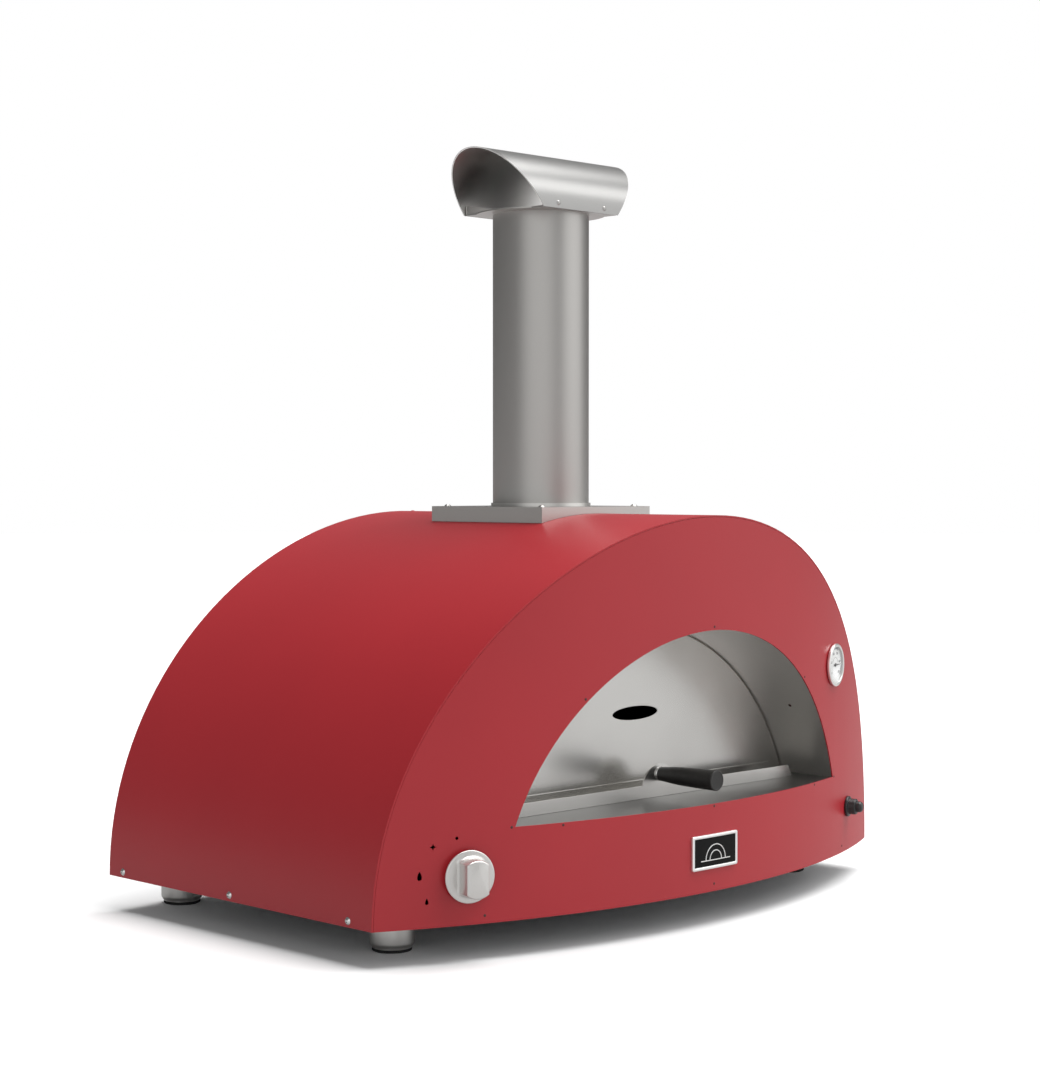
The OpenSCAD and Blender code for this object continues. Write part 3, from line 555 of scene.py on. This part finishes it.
def make_thermometer():
    place = front_place("thermometer_dial")
    lo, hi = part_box("thermometer_case")
    r = (hi.z - lo.z) / 2
    bezel = fillet([(0, 0.0015), (0.0284, 0.0015), (0.0284, 0.0046), (r - 0.0046, 0.0047),
                    (r - 0.0042, 0.0053), (r - 0.0014, 0.0055), (r, 0.0045), (r, 0.0013),
                    (r - 0.0006, 0.0005), (0, 0.0005)],
                   [0, 0.0003, 0.0003, 0.0002, 0.0005, 0.0010, 0.0010, 0.0004, 0.0003, 0], 5)
    lathe("thermometer_bezel", bezel, place, "oven", "satin_chrome", ("thermometer_case",), 128)
    # The scale: fifty steps with long, middle and short ticks over an arc, and an inner arc
    face, ink, film = 0.0022, 0.00228, 0.00004
    sweep, steps, tick_end = 128, 50, 0.0254
    scale_arc, inner_arc, band = (0.0256, 0.0258), (0.0107, 0.0111), (0.0226, 0.0252)
    bm = bmesh.new()
    for k in range(steps + 1):
        a = math.radians(-sweep + 2 * sweep * k / steps)
        x, y = math.sin(a), math.cos(a)
        start = 0.0222 if k % 10 == 0 else (0.0232 if k % 5 == 0 else 0.0241)
        w = 0.0006 if k % 10 == 0 else 0.0003
        strip(bm, place, (x * start, y * start), (x * tick_end, y * tick_end), w, w, face, ink)
    arc_band(bm, place, *scale_arc, -sweep, sweep, face, ink, 96)
    arc_band(bm, place, *inner_arc, -70, 70, face, ink, 48)
    add_mesh("dial_scale", bm, "oven", "needle_black")
    # Two grey bands under the ticks
    bm = bmesh.new()
    arc_band(bm, place, *band, -36, 28, face, face + 0.00005, 40)
    arc_band(bm, place, *band, 96, sweep, face, face + 0.00005, 30)
    add_mesh("dial_bands", bm, "oven", "galvanised_sheet")
    # Numbers from 0 to 500
    number_r, number_size, last = 0.0178, 0.0052, 5
    for k in range(last + 1):
        a = math.radians(-sweep + 2 * sweep * k / last)
        at = (math.sin(a) * number_r, math.cos(a) * number_r, face + film)
        cu = bpy.data.curves.new(f"dial_number_{k}", "FONT")
        cu.body = str(100 * k)
        cu.size = number_size
        cu.extrude = film
        cu.align_x, cu.align_y = "CENTER", "CENTER"
        tmp = bpy.data.objects.new("tmp", cu)
        me = bpy.data.meshes.new_from_object(tmp)
        bpy.data.objects.remove(tmp)
        me.transform(place @ Matrix.Translation(at))
        me.materials.clear()
        link(f"dial_number_{k}", me, "oven", "needle_black")
    # The pointer: a hub cap, a thin tapered arm and a triangular tail
    hub = fillet([(0, 0.0017), (0.0009, 0.0017), (0.0009, 0.0025), (0.0027, 0.0025),
                  (0.0027, 0.0031), (0.0014, 0.0034), (0, 0.0035)], 0.0003, 3)
    bm = bmesh.new()
    lathe_into(bm, hub, place, 40)
    strip(bm, place, (0.001, 0), (0.0212, 0), 0.0016, 0.0005, 0.0027, 0.0031)
    strip(bm, place, (-0.001, 0), (-0.0074, 0), 0.0012, 0.0040, 0.0027, 0.0031)
    add_mesh("gauge_pointer", bm, "needle", "needle_black", ("thermometer_needle",))


# ---------------------------------------------------------------- badge

def make_badge():
    """Plain silver frame with rounded edges, and an arch drawn as a raised line."""
    lo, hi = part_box("badge_frame")
    w, h, zc = (hi.x - lo.x) / 2, (hi.z - lo.z) / 2, (lo.z + hi.z) / 2

    def skin_pt(x, z, n):
        """A point n out from the bowed front."""
        a = math.asin(x / FRONT_R)
        return Vector((0, FRONT_CY, z)) + (FRONT_R + n) * Vector((math.sin(a), -math.cos(a), 0))

    def outline(inset, radius, count=8, side=10):
        pts = []
        cw, ch = w - inset - radius, h - inset - radius
        corners = [(1, 1, 0), (-1, 1, 90), (-1, -1, 180), (1, -1, 270)]
        for i, (sx, sz, start) in enumerate(corners):
            for k in range(count + 1):
                a = math.radians(start + 90 * k / count)
                pts.append((sx * cw + radius * math.cos(a), sz * ch + radius * math.sin(a)))
            nx, nz, nstart = corners[(i + 1) % 4]
            a = math.radians(nstart)
            nxt = (nx * cw + radius * math.cos(a), nz * ch + radius * math.sin(a))
            last = pts[-1]
            for k in range(1, side):
                pts.append((last[0] + (nxt[0] - last[0]) * k / side,
                            last[1] + (nxt[1] - last[1]) * k / side))
        return pts

    def ribbon(bm, rows):
        """Quads between each open row of vertices and the next."""
        for a, c in zip(rows, rows[1:]):
            for k in range(len(a) - 1):
                bm.faces.new([a[k], a[k + 1], c[k + 1], c[k]])

    bm = bmesh.new()
    border = 0.0042
    section = [(0, 0.0002), (0, 0.0027), (0.0002, 0.0031), (0.0006, 0.0034),
               (border - 0.0007, 0.0034), (border - 0.0002, 0.0031), (border, 0.0026),
               (border, 0.0002)]
    loops = []
    for inset, n in section:
        rad = 0.0026 - 0.0016 * inset / border
        loops.append([bm.verts.new(skin_pt(x, zc + z, n)) for x, z in outline(inset, rad)])
    bridge(bm, loops + loops[:1])
    add_mesh("badge_rim", bm, "oven", "badge_silver", ("badge_frame",), 40)
    bm = bmesh.new()
    base, field, top, line = zc - 0.0105, 0.0024, 0.0030, 0.0015
    for r in (0.0205, 0.0125):
        section = ((r, field), (r - 0.0002, top), (r - line + 0.0002, top), (r - line, field))
        rows = []
        for k in range(49):
            a = math.pi * k / 48
            rows.append([bm.verts.new(skin_pt(q * math.cos(a), base + q * math.sin(a), n))
                         for q, n in section])
        ribbon(bm, rows)
    half = 0.030
    section = ((0, field), (-0.0002, top), (-0.0013, top), (-line, field))
    rows = []
    for k in range(33):
        x = -half + 2 * half * k / 32
        rows.append([bm.verts.new(skin_pt(x, base + z, n)) for z, n in section])
    ribbon(bm, rows)
    add_mesh("badge_arch_line", bm, "oven", "badge_silver")


# ---------------------------------------------------------------- handle

def make_grip():
    lo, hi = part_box("door_grip")
    c = (lo + hi) / 2
    length = hi.y - lo.y
    place = aim(Vector((c.x, hi.y, c.z)), (0, -1, 0))
    pts = fillet([(0.0041, 0.0001), (0.0092, 0.0001), (0.0124, 0.034), (0.01375, length - 0.0008),
                  (0.0128, length - 0.0001), (0.0118, length), (0.0114, length - 0.0004),
                  (0, length - 0.0004)],
                 [0, 0.0006, 0.012, 0.0009, 0.0005, 0.0003, 0.0003, 0], 5)
    lathe("handle_grip", pts, place, "door", "handle_black", ("door_grip",))
    collar = fillet([(0.0092, 0.0), (0.0098, 0.0), (0.0098, 0.0016), (0.0092, 0.0022)], 0.0004, 3)
    lathe("handle_root_ring", collar, place, "door", "bright_steel", (), 72)


# ---------------------------------------------------------------- feet

def make_feet():
    for side in ("front_left", "front_right", "rear_left", "rear_right"):
        lo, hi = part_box("foot_pad_" + side)
        c = (lo + hi) / 2
        pr = (hi.x - lo.x) / 2
        place = Matrix.Translation((c.x, c.y, 0))
        pad = fillet([(0, 0.0), (pr - 0.009, 0.0), (pr - 0.0085, 0.0007), (pr - 0.006, 0.0007),
                      (pr - 0.0055, 0.0), (pr - 0.0012, 0.0), (pr, 0.0012), (pr, 0.0038),
                      (pr - 0.0006, 0.0040), (0, 0.0040)],
                     0.0005, 4)
        lathe("pad_" + side, pad, place, "oven", "pad_rubber", ("foot_pad_" + side,), 72)
        slo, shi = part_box("foot_sleeve_" + side)
        sr = (shi.x - slo.x) / 2
        top = hood_lo.z - 0.0004
        sleeve = fillet([(0, 0.0040), (pr, 0.0040), (pr, 0.0060), (sr - 0.0024, 0.0060),
                         (sr, 0.0098), (sr, top - 0.0007), (sr - 0.0008, top), (0.0051, top),
                         (0.0050, top + 0.0110), (0, top + 0.0114)],
                        [0, 0.0006, 0.0003, 0.0008, 0.0016, 0.0008, 0.0005, 0.0003, 0.0008, 0], 4)
        lathe("sleeve_" + side, sleeve, place, "oven", "foot_steel", ("foot_sleeve_" + side,))


# ---------------------------------------------------------------- screws

SIDE_BOLT = dict(r=0.005, h=0.003, hex_r=0.0022, depth=0.0018, shank_r=0.0019, shank_l=0.007)
PLATE_BOLT = dict(r=0.005, h=0.0032, hex_r=0.0022, depth=0.0018, shank_r=0.002, shank_l=0.006)
APEX_BOLT = dict(r=0.003, h=0.0012, hex_r=0.0012, depth=0.0008, shank_r=0.00155, shank_l=0.006)


def hexagon(r, h, count):
    """A hexagon's outline at a height, as many points as a circle has."""
    pts = []
    for k in range(count):
        a = 2 * math.pi * k / count
        s = (a + math.pi / 6) % (math.pi / 3) - math.pi / 6
        q = r * math.cos(math.pi / 6) / math.cos(s)
        pts.append((q * math.cos(a), q * math.sin(a), h))
    return pts


def button_head(bm, place, r, h, hex_r, depth, shank_r, shank_l, count=36):
    """Domed head with a hexagon recess and a plain shank, along the frame's Z."""
    ball = (r * r + h * h) / (2 * h)

    def dome(q):
        return math.sqrt(ball * ball - q * q) - (ball - h)

    rim = dome(hex_r)
    outlines = [circle(shank_r, -shank_l, count), circle(shank_r, 0.0, count),
                circle(r, 0.0, count), circle(r, h * 0.10, count)]
    for f in (0.92, 0.8, 0.66, 0.54):
        outlines.append(circle(r * f, max(h * 0.12, dome(r * f)), count))
    outlines += [hexagon(hex_r * 1.06, rim, count), hexagon(hex_r, rim - 0.00012, count),
                 hexagon(hex_r * 0.98, h - depth, count)]
    loops = [loop(bm, place, points) for points in outlines]
    bridge(bm, loops)
    bm.faces.new(loops[-1])
    bm.faces.new(loops[0][::-1])


def make_screws():
    bm = bmesh.new()
    for lo, hi in islands("side_screws"):
        c = (lo + hi) / 2
        s = 1 if c.x > 0 else -1
        place = aim(Vector((s * (HOOD_R - 0.00005), c.y, c.z)), (s, 0, 0))
        button_head(bm, place, **SIDE_BOLT)
    add_mesh("side_bolts", bm, "oven", "bright_steel", ("side_screws",), 40)
    bm = bmesh.new()
    plate_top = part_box("flue_plate")[1].z
    for lo, hi in islands("plate_screws"):
        c = (lo + hi) / 2
        place = aim(Vector((c.x, c.y, plate_top)), (0, 0, 1))
        button_head(bm, place, **PLATE_BOLT)
    add_mesh("plate_bolts", bm, "oven", "flue_steel", ("plate_screws",), 40)
    bm = bmesh.new()
    lo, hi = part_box("apex_screw")
    top = Vector(((lo.x + hi.x) / 2, (lo.y + hi.y) / 2, hood_hi.z))
    button_head(bm, aim(top, (0, 0, 1)), **APEX_BOLT)
    add_mesh("apex_bolt", bm, "oven", "red_paint", ("apex_screw",), 40)


make_knob()
make_igniter()
make_thermometer()
make_badge()
make_grip()
make_feet()
make_screws()


# ---------------------------------------------------------------- stage, lights, camera

FLOOR_GREY = (0.45, 0.45, 0.45, 1)


def make_floor():
    """Wide pale disc. It shows white to the camera and lights the oven as a mid grey."""
    bm = bmesh.new()
    radii = (0.0, 1.5, 3.5, 6.0, 9.0, 12.0, 16.0, 22.0)
    lathe_into(bm, [(r, 0) for r in radii], Matrix.Identity(4))
    me = bpy.data.meshes.new("floor")
    bmesh.ops.recalc_face_normals(bm, faces=bm.faces)
    bm.to_mesh(me)
    bm.free()
    ob = bpy.data.objects.new("floor", me)
    bpy.context.scene.collection.objects.link(ob)
    m, t, b = new_mat("floor_paper")
    path = t.nodes.new("ShaderNodeLightPath")
    pick = mix_colour(t, path.outputs["Is Camera Ray"])
    pick.inputs[6].default_value = FLOOR_GREY
    t.links.new(two_tone(t, noise(t, 3, 2), (0.91, 0.91, 0.91), (0.93, 0.93, 0.93)), pick.inputs[7])
    t.links.new(pick.outputs[2], b.inputs["Base Color"])
    t.links.new(spread(t, noise(t, 40, 2), 0.85, 0.95), b.inputs["Roughness"])
    b.inputs["Specular IOR Level"].default_value = 0.2
    me.materials.append(m)


# Direction, cosine where it starts, cosine where it is full, radiance: the studio's soft panels
PANELS = [
    ((0.62, -0.77, 0.15), 0.76, 0.98, 1.35),
    ((-0.75, -0.62, 0.12), 0.62, 0.96, 0.85),
]
AMBIENT = 0.17


def make_world():
    """Dim grey studio with soft panels for lighting, in front of a plain white backdrop."""
    w = bpy.data.worlds.new("studio")
    bpy.context.scene.world = w
    w.use_nodes = True
    t = w.node_tree
    bg = t.nodes["Background"]
    tc = t.nodes.new("ShaderNodeTexCoord")
    total = None
    for direction, lo, hi, radiance in PANELS:
        dot = t.nodes.new("ShaderNodeVectorMath")
        dot.operation = "DOT_PRODUCT"
        dot.inputs[1].default_value = Vector(direction).normalized()
        t.links.new(tc.outputs["Generated"], dot.inputs[0])
        ramp = t.nodes.new("ShaderNodeMapRange")
        ramp.interpolation_type = "SMOOTHSTEP"
        ramp.inputs["From Min"].default_value = lo
        ramp.inputs["From Max"].default_value = hi
        ramp.inputs["To Min"].default_value = 0.0 if total else AMBIENT
        ramp.inputs["To Max"].default_value = radiance
        t.links.new(dot.outputs["Value"], ramp.inputs["Value"])
        lit = ramp.outputs["Result"]
        total = lit if total is None else maths(t, "ADD", total, lit)
    path = t.nodes.new("ShaderNodeLightPath")
    pick = t.nodes.new("ShaderNodeMix")
    pick.data_type = "FLOAT"
    pick.inputs[3].default_value = 1.0
    t.links.new(path.outputs["Is Camera Ray"], pick.inputs[0])
    t.links.new(total, pick.inputs[2])
    t.links.new(pick.outputs[0], bg.inputs["Color"])
    bg.inputs["Strength"].default_value = 1.0


def sun_light(name, direction, angle_deg, strength):
    """Soft far light that travels along the direction."""
    data = bpy.data.lights.new(name, "SUN")
    data.angle = math.radians(angle_deg)
    data.energy = strength
    ob = bpy.data.objects.new(name, data)
    ob.matrix_world = aim(Vector((0, 0, 4)), -Vector(direction))
    bpy.context.scene.collection.objects.link(ob)


CAMERA_EYE = Vector((-2.2293, -2.1935, 0.5906))
CAMERA_FORWARD = Vector((0.7069, 0.7069, -0.0252))


def make_camera():
    cam = bpy.data.cameras.new("camera")
    cam.sensor_width = 36
    cam.lens = 73.07
    cam.shift_x = 0.00128
    cam.shift_y = -0.00102
    cam.clip_end = 100
    ob = bpy.data.objects.new("camera", cam)
    ob.matrix_world = aim(CAMERA_EYE, -CAMERA_FORWARD)
    bpy.context.scene.collection.objects.link(ob)
    bpy.context.scene.camera = ob


make_floor()
make_world()
make_camera()
sun_light("overhead", (-0.27, 0.06, -0.96), 54, 3.85)
sun_light("front_right", (-0.34, 0.60, -0.72), 36, 0.42)
sun_light("streak", (-0.70, 0.42, -0.577), 20, 0.24)
bpy.context.scene.view_settings.view_transform = "Standard"

bpy.context.view_layer.update()
